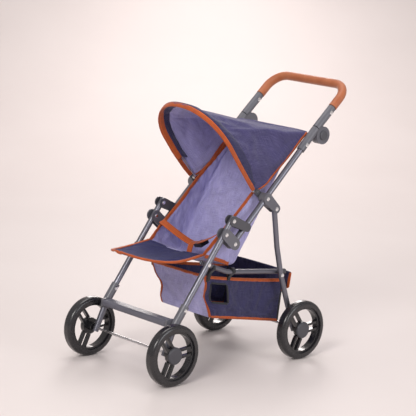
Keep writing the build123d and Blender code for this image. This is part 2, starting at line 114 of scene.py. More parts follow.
class Look:
    """A node material with a Principled shader, and short ways to add and join nodes."""

    def __init__(self, name):
        self.material = bpy.data.materials.new(name)
        self.material.use_nodes = True
        self.tree = self.material.node_tree
        self.shader = self.tree.nodes["Principled BSDF"]

    def node(self, kind, settings=None, **inputs):
        made = self.tree.nodes.new(kind)
        for key, value in (settings or {}).items():
            setattr(made, key, value)
        for key, value in inputs.items():
            self.feed(made.inputs[key.replace("_", " ")], value)
        return made

    def feed(self, socket, value):
        if isinstance(value, bpy.types.NodeSocket):
            self.tree.links.new(value, socket)
        else:
            socket.default_value = value

    def coords(self, space, scale=(1, 1, 1)):
        """Coordinates in metres, from UV or Object space, scaled."""
        source = self.node("ShaderNodeTexCoord").outputs[space]
        mapping = self.node("ShaderNodeMapping", Vector=source)
        mapping.inputs["Scale"].default_value = scale
        return mapping.outputs["Vector"]

    def noise(self, at, scale, detail=4.0, rough=0.55):
        return self.node("ShaderNodeTexNoise", Vector=at, Scale=scale, Detail=detail,
                         Roughness=rough).outputs["Fac"]

    def spread(self, value, low, high, to_low=0.0, to_high=1.0):
        ranged = self.node("ShaderNodeMapRange", Value=value)
        for key, number in (("From Min", low), ("From Max", high),
                            ("To Min", to_low), ("To Max", to_high)):
            ranged.inputs[key].default_value = number
        return ranged.outputs["Result"]

    def maths(self, operation, a, b=0.0):
        made = self.node("ShaderNodeMath", {"operation": operation})
        self.feed(made.inputs[0], a)
        self.feed(made.inputs[1], b)
        return made.outputs[0]

    def blend(self, factor, a, b, kind="MIX"):
        made = self.node("ShaderNodeMix", {"data_type": "RGBA", "blend_type": kind})
        self.feed(made.inputs["Factor"], factor)
        self.feed(made.inputs["A"], a)
        self.feed(made.inputs["B"], b)
        return made.outputs["Result"]

    def bump(self, height, distance, strength=1.0, normal=None):
        made = self.node("ShaderNodeBump", Height=height, Strength=strength, Distance=distance)
        if normal is not None:
            self.tree.links.new(normal, made.inputs["Normal"])
        return made.outputs["Normal"]

    def finish(self, colour, rough, normal=None, **inputs):
        self.feed(self.shader.inputs["Base Color"], colour)
        self.feed(self.shader.inputs["Roughness"], rough)
        if normal is not None:
            self.feed(self.shader.inputs["Normal"], normal)
        for key, value in inputs.items():
            self.feed(self.shader.inputs[key.replace("_", " ")], value)
        return self.material


TWILL_PITCH = 0.0010


def denim(name, warp, weft, sheen=0.18):
    """Twill cloth: warp and weft yarns, slubs along both, broad uneven dye and a soft sheen."""
    look = Look(name)
    at = look.coords("UV")
    twill = look.node("ShaderNodeTexWave", {"bands_direction": "DIAGONAL"}, Vector=at,
                      Scale=0.444 / TWILL_PITCH, Distortion=1.2, Detail=1.0)
    warp_slub = look.noise(look.coords("UV", (900, 45, 45)), 1.0, 3.0)
    weft_slub = look.noise(look.coords("UV", (45, 900, 45)), 1.0, 3.0)
    dye = look.noise(at, 38.0, 5.0, 0.6)
    yarn = look.maths("MULTIPLY", look.maths("ADD", warp_slub, weft_slub), 0.5)
    mixed = look.maths("ADD", look.spread(yarn, 0.36, 0.64, -0.25, 0.6),
                       look.maths("MULTIPLY", twill.outputs["Fac"], 0.35))
    cloth = look.blend(look.spread(mixed, 0.0, 1.0), warp, weft)
    shade = look.spread(dye, 0.3, 0.7, 0.86, 1.12)
    tint = look.node("ShaderNodeCombineColor", Red=shade, Green=shade, Blue=shade).outputs[0]
    cloth = look.blend(1.0, cloth, tint, "MULTIPLY")
    height = look.maths("ADD", look.maths("MULTIPLY", twill.outputs["Fac"], 0.6), yarn)
    normal = look.bump(height, 0.0004, 0.5)
    return look.finish(cloth, look.spread(dye, 0.3, 0.7, 0.82, 0.95), normal,
                       Sheen_Weight=sheen, Sheen_Roughness=0.5, Specular_IOR_Level=0.2)


def tape(name, colour, dark, rib=0.0016, stitches=True):
    """Woven tape. UV x runs along it and UV y across it, both in metres."""
    look = Look(name)
    at = look.coords("UV")
    parts = look.node("ShaderNodeSeparateXYZ", Vector=at)
    ribs = look.node("ShaderNodeTexWave", {"bands_direction": "X"}, Vector=at,
                     Scale=0.314 / rib, Distortion=0.6, Detail=1.0).outputs["Fac"]
    worn = look.noise(at, 90.0, 4.0)
    cloth = look.blend(look.spread(worn, 0.3, 0.75), dark, colour)
    height = look.maths("MULTIPLY", ribs, 0.5)
    if stitches:
        run = look.maths("MODULO", parts.outputs["X"], 0.0036)
        on_stitch = look.maths("LESS_THAN", run, 0.0024)
        off_seam = look.maths("ABSOLUTE", look.maths("SUBTRACT", parts.outputs["Y"], 0.0016))
        seam = look.maths("LESS_THAN", off_seam, 0.0005)
        stitch = look.maths("MULTIPLY", on_stitch, seam)
        thread = tuple(min(1.0, c * 1.5 + 0.02) for c in colour[:3]) + (1,)
        cloth = look.blend(look.maths("MULTIPLY", stitch, 0.7), cloth, thread)
        height = look.maths("ADD", height, stitch)
    normal = look.bump(height, 0.0003, 0.5)
    return look.finish(cloth, look.spread(worn, 0.3, 0.7, 0.6, 0.8), normal,
                       Sheen_Weight=0.2, Specular_IOR_Level=0.3)


def metal_paint(name, colour, rough=0.3, metallic=0.85):
    """Metallic paint on drawn tube: fine flake, faint lengthwise waviness and light scuffs."""
    look = Look(name)
    at = look.coords("Object")
    flake = look.noise(at, 2600.0, 2.0)
    scuff = look.noise(look.coords("Object", (60, 60, 14)), 1.0, 6.0, 0.65)
    cloudy = look.noise(at, 22.0, 3.0)
    lighter = tuple(min(1.0, c * 1.25) for c in colour[:3]) + (1,)
    paint = look.blend(look.spread(flake, 0.35, 0.65), colour, lighter)
    roughness = look.maths("ADD", look.spread(scuff, 0.45, 0.8, rough, rough + 0.18),
                           look.spread(cloudy, 0.3, 0.7, -0.04, 0.04))
    normal = look.bump(look.maths("ADD", flake, scuff), 0.00006, 0.35)
    return look.finish(paint, roughness, normal, Metallic=metallic,
                       Coat_Weight=0.25, Coat_Roughness=0.15)


def plastic(name, colour, rough, grain=1500.0, depth=0.00005, coat=0.0):
    """Moulded plastic: fine spark grain, slow thickness shading and scuffed roughness."""
    look = Look(name)
    at = look.coords("Object")
    skin = look.noise(at, grain, 3.0)
    flow = look.noise(at, 26.0, 4.0)
    rubbed = look.noise(at, 150.0, 6.0, 0.7)
    darker = tuple(c * 0.8 for c in colour[:3]) + (1,)
    body = look.blend(look.spread(flow, 0.3, 0.7), darker, colour)
    roughness = look.maths("ADD", look.spread(rubbed, 0.4, 0.75, rough, rough + 0.12),
                           look.spread(flow, 0.3, 0.7, -0.03, 0.03))
    return look.finish(body, roughness, look.bump(skin, depth, 0.5),
                       Coat_Weight=coat, Coat_Roughness=0.12)


def foam(name, colour, light):
    """Closed-cell foam grip: pores, soft skin shine and handling marks."""
    look = Look(name)
    at = look.coords("Object")
    pores = look.node("ShaderNodeTexVoronoi", Vector=at, Scale=1100.0).outputs["Distance"]
    rubbed = look.noise(at, 45.0, 5.0, 0.6)
    body = look.blend(look.spread(rubbed, 0.35, 0.7), colour, light)
    normal = look.bump(look.maths("ADD", pores, look.maths("MULTIPLY", rubbed, 0.6)),
                       0.00015, 0.5)
    return look.finish(body, look.spread(rubbed, 0.3, 0.7, 0.42, 0.56), normal,
                       Sheen_Weight=0.35, Sheen_Roughness=0.4,
                       Subsurface_Weight=0.05, Subsurface_Scale=0.002)


def floor_paint():
    look = Look("floor")
    at = look.coords("Object")
    mottled = look.noise(at, 3.0, 3.0)
    colour = look.blend(mottled, (0.66, 0.60, 0.585, 1), (0.72, 0.665, 0.65, 1))
    return look.finish(colour, look.spread(mottled, 0.3, 0.7, 0.55, 0.65), Specular_IOR_Level=0.25)


def make_looks():
    return {
        "denim_dark": denim("denim_dark", (0.036, 0.032, 0.105, 1), (0.125, 0.112, 0.245, 1)),
        "denim_navy": denim("denim_navy", (0.020, 0.019, 0.062, 1), (0.072, 0.068, 0.155, 1)),
        "denim_light": denim("denim_light", (0.300, 0.280, 0.540, 1), (0.560, 0.540, 0.800, 1)),
        "denim_flap": denim("denim_flap", (0.014, 0.015, 0.066, 1), (0.050, 0.050, 0.155, 1),
                            sheen=0.05),
        "binding": tape("binding", (0.47, 0.093, 0.014, 1), (0.33, 0.055, 0.009, 1)),
        "webbing": tape("webbing", (0.52, 0.105, 0.016, 1), (0.38, 0.066, 0.011, 1), 0.0022),
        "loop_webbing": tape("loop_webbing", (0.03, 0.03, 0.035, 1), (0.015, 0.015, 0.02, 1),
                             0.0018, False),
        "frame_tube": metal_paint("frame_tube", (0.155, 0.155, 0.185, 1), 0.30, 0.8),
        "bracket_plastic": plastic("bracket_plastic", (0.130, 0.130, 0.152, 1), 0.33, coat=0.15),
        "footrest_plastic": plastic("footrest_plastic", (0.135, 0.135, 0.170, 1), 0.38),
        "lock_plastic": plastic("lock_plastic", (0.075, 0.075, 0.088, 1), 0.32, coat=0.15),
        "steel": metal_paint("steel", (0.50, 0.49, 0.50, 1), 0.24, 1.0),
        "rivet_steel": metal_paint("rivet_steel", (0.80, 0.80, 0.82, 1), 0.14, 1.0),
        "grip_foam": foam("grip_foam", (0.37, 0.098, 0.030, 1), (0.46, 0.150, 0.058, 1)),
        "tyre": plastic("tyre", (0.016, 0.015, 0.018, 1), 0.24, 700.0, 0.00004, 0.3),
        "rim_plastic": plastic("rim_plastic", (0.014, 0.014, 0.017, 1), 0.22, 900.0, 0.00003, 0.3),
        "cap_plastic": plastic("cap_plastic", (0.060, 0.060, 0.072, 1), 0.36),
        "buckle_plastic": plastic("buckle_plastic", (0.014, 0.013, 0.015, 1), 0.28, coat=0.2),
        "floor": floor_paint(),
    }


LOOKS = make_looks()

# Which material each shown CAD node takes
NODE_LOOKS = {
    "frame_tube": ["front_leg_", "rear_leg_", "push_tube_", "seat_bar_", "handle_tube"],
    "bracket_plastic": ["leg_sleeve_", "elbow_bracket_", "leg_bracket_", "hub_lower_",
                        "hub_upper_"],
    "footrest_plastic": ["footrest"],
    "lock_plastic": ["frame_lock_", "canopy_clip_", "hub_button_", "bar_caps"],
    "steel": ["front_axle", "rear_axle", "hub_pins", "canopy_hoop"],
    "rivet_steel": ["front_rivets", "push_rivets", "handle_rivets", "rear_rivets"],
    "grip_foam": ["handle_grip"],
    "tyre": ["tyre_"],
    "rim_plastic": ["rim_"],
    "cap_plastic": ["hub_cap_"],
    "buckle_plastic": ["belt_buckle"],
}


def paint_frame():
    for look, starts in NODE_LOOKS.items():
        for name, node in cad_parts.items():
            if any(name.startswith(start) for start in starts):
                node.data.materials.clear()
                node.data.materials.append(LOOKS[look])


# ---------------------------------------------------------------- curves and cloth grids

def even(points, count):
    """Points evenly spaced along a polyline."""
    points = np.asarray(points, float)
    steps = np.linalg.norm(np.diff(points, axis=0), axis=1)
    at = np.concatenate([[0.0], np.cumsum(steps)])
    want = np.linspace(0, at[-1], count)
    return np.stack([np.interp(want, at, column) for column in points.T], axis=1)


def smooth(points, count, passes=4):
    """Evenly spaced curve that rounds off the corners of a polyline and keeps its ends."""
    points = np.asarray(points, float)
    for _ in range(passes):
        near = 0.75 * points[:-1] + 0.25 * points[1:]
        far = 0.25 * points[:-1] + 0.75 * points[1:]
        middle = np.stack([near, far], axis=1).reshape(-1, points.shape[1])
        points = np.vstack([points[:1], middle, points[-1:]])
    return even(points, count)


def unit(vectors):
    return vectors / np.maximum(np.linalg.norm(vectors, axis=-1, keepdims=True), 1e-9)


def lengths(grid, axis):
    """Distance travelled along one direction of a grid, zero at its first line."""
    steps = np.linalg.norm(np.diff(grid, axis=axis), axis=2)
    zero = np.zeros_like(np.take(steps, [0], axis=axis))
    return np.concatenate([zero, np.cumsum(steps, axis=axis)], axis=axis)


def make_mesh(name, points, faces, uvs, looks):
    """Mesh object from points, faces and one UV for each point."""
    mesh = bpy.data.meshes.new(name)
    mesh.from_pydata([tuple(p) for p in points], [], faces)
    layer = mesh.uv_layers.new(name="UVMap")
    corners = np.zeros(len(mesh.loops), np.int64)
    mesh.loops.foreach_get("vertex_index", corners)
    layer.data.foreach_set("uv", np.asarray(uvs, float)[corners].ravel())
    mesh.polygons.foreach_set("use_smooth", [True] * len(mesh.polygons))
    for look in looks:
        mesh.materials.append(LOOKS[look])
    made = bpy.data.objects.new(name, mesh)
    scene.collection.objects.link(made)
    return made


def sheet_mesh(name, grid, looks, hole=None, flip=False):
    """One-layer cloth mesh of a grid; hole(row, column) leaves a face out."""
    rows, columns = grid.shape[:2]
    faces = []
    for r in range(rows - 1):
        for c in range(columns - 1):
            if hole is not None and hole(r, c):
                continue
            face = (r * columns + c, r * columns + c + 1,
                    (r + 1) * columns + c + 1, (r + 1) * columns + c)
            faces.append(face[::-1] if flip else face)
    uvs = np.stack([lengths(grid, 1), lengths(grid, 0)], axis=2).reshape(-1, 2)
    return make_mesh(name, grid.reshape(-1, 3), faces, uvs, looks)


def grid_area(grid):
    one = np.cross(grid[1:, :-1] - grid[:-1, :-1], grid[:-1, 1:] - grid[:-1, :-1])
    two = np.cross(grid[1:, :-1] - grid[1:, 1:], grid[:-1, 1:] - grid[1:, 1:])
    return float((np.linalg.norm(one, axis=2) + np.linalg.norm(two, axis=2)).sum() / 2)


def bake(piece):
    """Apply every modifier to the piece's own mesh."""
    bpy.context.view_layer.update()
    depsgraph = bpy.context.evaluated_depsgraph_get()
    mesh = bpy.data.meshes.new_from_object(piece.evaluated_get(depsgraph), depsgraph=depsgraph,
                                           preserve_all_data_layers=True)
    piece.modifiers.clear()
    piece.data = mesh
    return piece


STIFFNESS = 18.0


def relax(piece, weights, cap, spare, frames, pressure=0.0, gravity=1.0):
    """Settle the piece by cloth simulation and keep the result, no point moving past cap.

    spare is the share of extra cloth, and a weight of 1 holds a point still.
    """
    group = piece.vertex_groups.new(name="held")
    for index, weight in enumerate(np.ravel(weights)):
        if weight > 0:
            group.add([index], float(weight), "REPLACE")
    cloth = piece.modifiers.new("cloth", "CLOTH")
    settings = cloth.settings
    settings.vertex_group_mass = "held"
    settings.quality = 6
    settings.mass = 0.0012
    settings.tension_stiffness = STIFFNESS
    settings.compression_stiffness = STIFFNESS
    settings.shear_stiffness = STIFFNESS / 3
    settings.bending_stiffness = 0.6
    settings.shrink_min = -spare
    settings.effector_weights.gravity = gravity
    settings.use_pressure = pressure > 0
    settings.uniform_pressure_force = pressure
    cloth.collision_settings.use_collision = False
    cloth.point_cache.frame_start, cloth.point_cache.frame_end = 1, frames
    for step in range(1, frames + 1):
        scene.frame_set(step)
    evaluated = piece.evaluated_get(bpy.context.evaluated_depsgraph_get())
    settled = np.array([v.co for v in evaluated.data.vertices])
    piece.modifiers.clear()
    piece.vertex_groups.clear()
    scene.frame_set(1)
    start = np.array([v.co for v in piece.data.vertices])
    moved = settled - start
    far = np.linalg.norm(moved, axis=1, keepdims=True)
    settled = start + moved * np.minimum(1.0, cap / np.maximum(far, 1e-9))
    piece.data.vertices.foreach_set("co", settled.ravel())
    piece.data.update()


def read_grid(piece, shape):
    return np.array([v.co for v in piece.data.vertices]).reshape(shape)


def edges_held(shape):
    """Cloth weights that hold a grid's four edges."""
    held = np.zeros(shape[:2])
    held[[0, -1], :] = 1.0
    held[:, [0, -1]] = 1.0
    return held


def subdivide(piece):
    finer = piece.modifiers.new("finer", "SUBSURF")
    finer.levels = finer.render_levels = 1


def thicken(piece, lined=False):
    """Give a sheet its cloth thickness, with the second material on its inner side."""
    subdivide(piece)
    solid = piece.modifiers.new("thick", "SOLIDIFY")
    solid.thickness = CLOTH
    solid.offset = 0.0
    solid.use_even_offset = False
    solid.material_offset = 1 if lined else 0
    return bake(piece)


def flow(name, rings, ring_uvs, look):
    """Closed-section band with flat ends, through rings of points (ring, point on it)."""
    count, around = rings.shape[:2]
    faces = []
    for r in range(count - 1):
        for c in range(around):
            n = (c + 1) % around
            faces.append((r * around + c, r * around + n,
                          (r + 1) * around + n, (r + 1) * around + c))
    faces.append(tuple(range(around))[::-1])
    faces.append(tuple((count - 1) * around + c for c in range(around)))
    return make_mesh(name, rings.reshape(-1, 3), faces, ring_uvs.reshape(-1, 2), [look])


def reach(lines, distance):
    """Point along each line (line, point on it), at one distance or one for each line."""
    found = []
    distances = np.broadcast_to(distance, len(lines))
    for line, distance in zip(lines, distances):
        steps = np.linalg.norm(np.diff(line, axis=0), axis=1)
        at = np.concatenate([[0.0], np.cumsum(steps)])
        found.append([np.interp(distance, at, column) for column in line.T])
    return np.array(found)


def reach_lines(lines, depth, samples=5):
    """Lines resampled to the same few points down to a depth."""
    return np.stack([reach(lines, d) for d in np.linspace(0, depth, samples)], axis=1)


def facing(points, edge, deeper):
    """Direction off the cloth at points that lie in from an edge."""
    along_edge = unit(np.gradient(edge, axis=0))
    into = unit(deeper - points)
    return unit(np.cross(along_edge, into))


PUCKER = 0.00022


def bind(name, lines, width, half=TRIM_HALF, look="binding", lip=0.0009):
    """Tape folded over a cloth edge. Each line starts on the edge and runs into the cloth."""
    lines = np.asarray(lines)
    edge, middle, inner = lines[:, 0], reach(lines, width / 2), reach(lines, width)
    further = reach(lines, width + 0.001)
    normal_edge = facing(edge, edge, middle)
    normal_inner = facing(inner, edge, further)
    out = unit(edge - middle)
    run = lengths(edge[:, None, :], 0)[:, 0]
    waves = np.sin(run * 2 * pi / 0.0072) * np.sin(run * 2 * pi / 0.019 + 1.3)
    h = (half + PUCKER * waves)[:, None]
    rings = np.stack([
        inner + normal_inner * (half * 0.75),
        inner + normal_inner * h * 1.02 + (edge - inner) * 0.06,
        middle + normal_edge * h * 1.18,
        edge + normal_edge * h,
        edge + out * lip + normal_edge * h * 0.45,
        edge + out * lip - normal_edge * h * 0.45,
        edge - normal_edge * h,
        middle - normal_edge * h * 1.18,
        inner - normal_inner * h * 1.02 + (edge - inner) * 0.06,
        inner - normal_inner * (half * 0.75),
    ], axis=1)
    across = np.array([0, 0.06, 0.5, 0.95, 1.0, 1.0, 0.95, 0.5, 0.06, 0]) * width
    uvs = np.stack(np.broadcast_arrays(run[:, None], across[None, :]), axis=2)
    piece = flow(name, rings, uvs, look)
    subdivide(piece)
    return bake(piece)


def lined_band(name, lines, depths, lifts, thick, look, side):
    """Thin strip of cloth beside a sheet, at given depths from its edge and lifts off it."""
    edge = lines[:, 0]
    upper, lower = [], []
    for depth, lift in zip(depths, lifts):
        at = reach(lines, depth)
        normal = facing(at, edge, reach(lines, depth + 0.001)) * side
        upper.append(at + normal * (lift + thick / 2)[:, None])
        lower.append(at + normal * (lift - thick / 2)[:, None])
    rings = np.stack(upper + lower[::-1], axis=1)
    run = lengths(edge[:, None, :], 0)[:, 0]
    across = np.stack(depths + depths[::-1], axis=1)
    uvs = np.stack(np.broadcast_arrays(run[:, None], across), axis=2)
    piece = flow(name, rings, uvs, look)
    subdivide(piece)
    return bake(piece)


def ribbon(name, path, across, width, thick, look, bow=0.0):
    """Flat webbing along a path; across is the direction of its width at each path point."""
    path, across = np.asarray(path, float), unit(np.asarray(across, float))
    ahead = unit(np.gradient(path, axis=0))
    across = unit(across - ahead * (across * ahead).sum(axis=1, keepdims=True))
    normal = unit(np.cross(ahead, across))
    profile = [(-0.5, -0.3), (-0.46, -0.5), (-0.2, -0.5), (0.2, -0.5), (0.46, -0.5), (0.5, -0.3),
               (0.5, 0.3), (0.46, 0.5), (0.2, 0.5), (-0.2, 0.5), (-0.46, 0.5), (-0.5, 0.3)]
    rings = np.stack([path + across * (x * width) + normal * (y * thick + bow * (0.25 - x * x))
                      for x, y in profile], axis=1)
    run = lengths(path[:, None, :], 0)[:, 0]
    places = np.array([(x + 0.5) * width for x, _ in profile])
    uvs = np.stack(np.broadcast_arrays(run[:, None], places[None, :]), axis=2)
    return flow(name, rings, uvs, look)


def in_metres(points):
    return np.asarray(points, float) / 1000.0


def both_sides(half):
    """Whole line from its left half."""
    return np.array(half + [p * MIRROR for p in half[::-1]])


# ---------------------------------------------------------------- seat sling

SEAT_ROWS = 74
SEAT_COLUMNS = 73
SEAT_BOTTOM_ROWS = 16
WING_COLUMNS = (10, 11, 12)  # held lightly on each wing, so that it stays upright

# Side-view lines of the sling in millimetres: its side edges, its folded corners and its middle
SEAT_EDGE = [(-66, 231), (-35, 261), (-5, 287), (28, 317), (61, 350), (97, 379), (135, 411),
             (172, 446)]
SEAT_EDGE_X = [80, 81, 81.5, 82, 82.5, 84, 85, 85]
SEAT_CORNER = [(-66, 229), (-22, 216), (18, 199), (30, 221), (83, 304), (108, 348), (140, 394),
               (175, 434)]
SEAT_CORNER_X = [80, 82, 84, 85, 85, 85, 84.5, 84]
SEAT_MIDDLE = [(-66, 229), (-24, 209), (12, 196), (34, 222), (86, 303), (111, 347), (141, 393),
               (175, 433)]


def seat_line(points, x):
    """Line down the sling through side-view points in millimetres, each at its own |x|."""
    rows = [(width, y, z) for (y, z), width in zip(points, x)]
    return smooth(in_metres(rows), SEAT_ROWS, 3)


def seat_grid():
    """Sling grid: rows from the front edge to the top of the back, columns across."""
    edge = seat_line(SEAT_EDGE, SEAT_EDGE_X)
    corner = seat_line(SEAT_CORNER, SEAT_CORNER_X)
    middle = seat_line(SEAT_MIDDLE, [0] * len(SEAT_MIDDLE))
    rows = []
    for side, fold, centre in zip(edge, corner, middle):
        inboard = fold * [0.72, 1, 1]
        near_middle = centre * [0, 1, 1] + [fold[0] * 0.3, 0, 0]
        half = [side, (side + fold) / 2, fold, inboard, near_middle]
        section = half + [centre] + [p * MIRROR for p in half[::-1]]
        rows.append(smooth(section, SEAT_COLUMNS))
    return np.array(rows)


def wing_foot_tape(side, columns, sign):
    """Straight tape on the outside of one wing, just above its fold with the seat bottom."""
    above_fold, least_wing = 0.0035, 0.006
    fold = seat_line(SEAT_CORNER, SEAT_CORNER_X)
    path = []
    for row in range(SEAT_BOTTOM_ROWS):
        wing = columns[row, 30::-1]
        height = fold[row, 2] + above_fold
        if wing[-1, 2] > height + least_wing:
            path.append([np.interp(height, wing[:, 2], wing[:, axis]) for axis in range(3)])
    path = smooth(path, 30, 3) + [sign * (CLOTH / 2 + 0.0008), 0, 0]
    upwards = np.tile([0.0, 0.33, 0.94], (30, 1))
    return ribbon(f"wing_foot_binding_{side}", path, upwards, 0.0072, 0.0012, "binding")


def make_seat():
    grid = seat_grid()
    piece = sheet_mesh("seat_sling", grid, ["denim_light"])
    held = edges_held(grid.shape)
    for column in WING_COLUMNS:
        held[:SEAT_BOTTOM_ROWS, [column, -1 - column]] = 0.8
        held[SEAT_BOTTOM_ROWS:, [column, -1 - column]] = 0.35
    relax(piece, held, 0.010, spare=0.022, frames=26)
    grid = read_grid(piece, grid.shape)
    thicken(piece)
    trims = []
    for side, sign in SIDES.items():
        columns = grid if sign > 0 else grid[:, ::-1]
        trims.append(bind(f"wing_binding_{side}", columns[:, :12], 0.0068))
        trims.append(wing_foot_tape(side, columns, sign))
    for part in [piece] + trims:
        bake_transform(part)
    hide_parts("seat_bottom", "seat_back", "seat_wing_left", "seat_wing_right")


# ---------------------------------------------------------------- calf flap

FLAP_EDGE = [(82, -62, 233), (82, -96, 228), (80, -128, 225.5), (66, -163, 228), (46, -190, 234),
             (22, -205, 240), (0, -207, 242)]
FLAP_MIDDLE = [(-62, 227), (-100, 222), (-150, 224), (-185, 232), (-207, 242)]


def flap_grid():
    """Middle surface of the flap: rows from the seat to the tip, columns across."""
    edge = smooth(in_metres(FLAP_EDGE), 44)
    spine = smooth(in_metres([(0, y, z) for y, z in FLAP_MIDDLE]), 44)
    rows = []
    for side, centre in zip(edge, spine):
        flat_centre = np.array([0.0, side[1] * 0.85 + centre[1] * 0.15, centre[2]])
        rows.append(smooth([side, side * [0.55, 1, 1] + [0, 0, -0.002], flat_centre,
                            side * [-0.55, 1, 1] + [0, 0, -0.002], side * MIRROR], 49))
    return np.array(rows)[:-1]


def flap_pad(grid):
    """Closed mesh of an upper and a lower cloth, joined at the flap's outline."""
    count, across = grid.shape[:2]
    from_side = np.minimum(np.linspace(0, 1, across), np.linspace(1, 0, across)) * 2
    from_tip = (count - 1 - np.arange(count)) / 4
    rise = 0.0011 * np.clip(from_side * 6, 0, 1)[None, :] * np.clip(from_tip, 0, 1)[:, None]
    upper = grid + rise[..., None] * [0, 0, 1]
    lower = grid - rise[..., None] * [0, 0, 1]
    offset = count * across
    faces = []
    for r in range(count - 1):
        for c in range(across - 1):
            a, b = r * across + c, r * across + c + 1
            d, e = a + across, b + across
            faces.append((a, b, e, d))
            faces.append((offset + d, offset + e, offset + b, offset + a))
    uv = np.stack([lengths(grid, 1), lengths(grid, 0)], axis=2).reshape(-1, 2)
    points = np.concatenate([upper.reshape(-1, 3), lower.reshape(-1, 3)])
    piece = make_mesh("calf_flap_pad", points, faces, np.concatenate([uv, uv]), ["denim_flap"])
    bm = bmesh.new()
    bm.from_mesh(piece.data)
    bmesh.ops.remove_doubles(bm, verts=bm.verts, dist=0.00002)
    open_edges = [e for e in bm.edges if e.is_boundary]
    bmesh.ops.holes_fill(bm, edges=open_edges, sides=0)
    bmesh.ops.triangulate(bm, faces=[f for f in bm.faces if len(f.verts) > 4])
    bmesh.ops.recalc_face_normals(bm, faces=bm.faces)
    bm.to_mesh(piece.data)
    bm.free()
    return piece


def flap_held(piece, grid):
    """Cloth weights that hold the flap's root and its rim."""
    home = np.array([v.co for v in piece.data.vertices])
    outline = np.concatenate([grid[:, 0], grid[-1], grid[:, -1]])
    gaps = [np.linalg.norm(outline - point, axis=1).min() for point in home]
    return ((home[:, 1] > -0.0645) | (np.array(gaps) < 0.0016)).astype(float)


def turn_gently(lines, span=9):
    """Lines whose direction into the cloth changes slowly along the edge, round a corner."""
    into = lines - lines[:, :1]
    padded = np.pad(into, ((span, span), (0, 0), (0, 0)), mode="edge")
    window = 2 * span + 1
    return lines[:, :1] + sum(padded[k:k + len(lines)] for k in range(window)) / window


def flap_binding(grid):
    """Tape down the flap's left edge, round its tip and back up the right edge."""
    left = grid[:, :14]
    tip = np.swapaxes(grid, 0, 1)[1:-1, ::-1][:, :10]
    right = grid[::-1, ::-1][:, :14]
    lines = np.concatenate([reach_lines(part, 0.012) for part in (left, tip, right)])
    return bind("calf_flap_binding", turn_gently(lines), 0.0056, 0.0022, lip=0.0010)


def make_flap():
    """A thin padded tongue, swollen by pressure."""
    grid = flap_grid()
    piece = flap_pad(grid)
    relax(piece, flap_held(piece, grid), 0.0045, spare=0.01, frames=20, pressure=3.0, gravity=0.0)
    subdivide(piece)
    bake(piece)
    trim = flap_binding(grid)
    for part in (piece, trim):
        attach(part, "front_frame")
    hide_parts("calf_flap")


# ---------------------------------------------------------------- canopy

WIRE_PIVOT = (59.7, 348.2)
WIRE_ANGLE = radians(127.0)
COVER_ROWS = 38
COVER_COLUMNS = 121
WIRE_ROW = 4  # grid row that lies over the wire
TOP_START = 38  # column where the rear edge turns from the side into the straight top
CASING_START = 11  # column where the wire enters its casing

# Rear edge beside the push tubes from the low corner up, in millimetres, then over the top
COVER_REAR = [(66, 351), (77, 355), (90, 362), (100, 371), (113, 383), (123, 393), (133, 402),
              (147, 415), (161, 429), (173, 442), (184, 453)]
COVER_REAR_TOP = [(0.0990, 0.1895, 0.4578), (0.093, 0.1905, 0.4590), (0.060, 0.1910, 0.4598)]

# Cloth over the wire: half width and height up the wire's plane, straight sides then a round top
COVER_SIDE = [(0.0925, 0.007), (0.0955, 0.030), (0.0985, 0.075), (0.0992, 0.115)]
COVER_TOP_CENTRE = (0.004, 0.1165)
COVER_TOP_RADII = (0.0955, 0.0967)


def cover_lines():
    """Front edge, line over the wire and rear edge of the canopy, from left over to right."""
    rise = np.array([0.0, cos(WIRE_ANGLE), sin(WIRE_ANGLE)])
    ahead = np.array([0.0, -sin(WIRE_ANGLE), cos(WIRE_ANGLE)])
    foot = in_metres((0, *WIRE_PIVOT))
    (centre_x, centre_height), (radius_x, radius_height) = COVER_TOP_CENTRE, COVER_TOP_RADII
    top = [(centre_x + radius_x * cos(a), centre_height + radius_height * sin(a))
           for a in np.linspace(0.12, pi / 2, 10)]
    over_wire = [foot + [x, 0, 0] + rise * h for x, h in COVER_SIDE + top]
    front = [p + ahead * ahead_of_wire(h) - rise * below_wire(h)
             for p, (_, h) in zip(over_wire, COVER_SIDE + top)]
    widths = np.interp(range(len(COVER_REAR)), [0, 4, 10], [0.0925, 0.0925, 0.0975])
    rear_side = [np.array([width, *in_metres(point)])
                 for width, point in zip(widths, COVER_REAR)]
    rear_top = [np.array(point) for point in COVER_REAR_TOP]
    return (even(both_sides(front), COVER_COLUMNS), even(both_sides(over_wire), COVER_COLUMNS),
            smooth(both_sides(rear_side + rear_top), COVER_COLUMNS, 2))


def ahead_of_wire(height):
    """How far the front edge stands ahead of the wire at a height up the wire's plane."""
    return np.interp(height, [0.007, 0.035, 0.080, 0.130, 0.212],
                     [0.0070, 0.0100, 0.0118, 0.0112, 0.0065])


def below_wire(height):
    """How far the front edge hangs below the line over the wire."""
    return np.interp(height, [0.115, 0.212], [0.0, 0.0030])


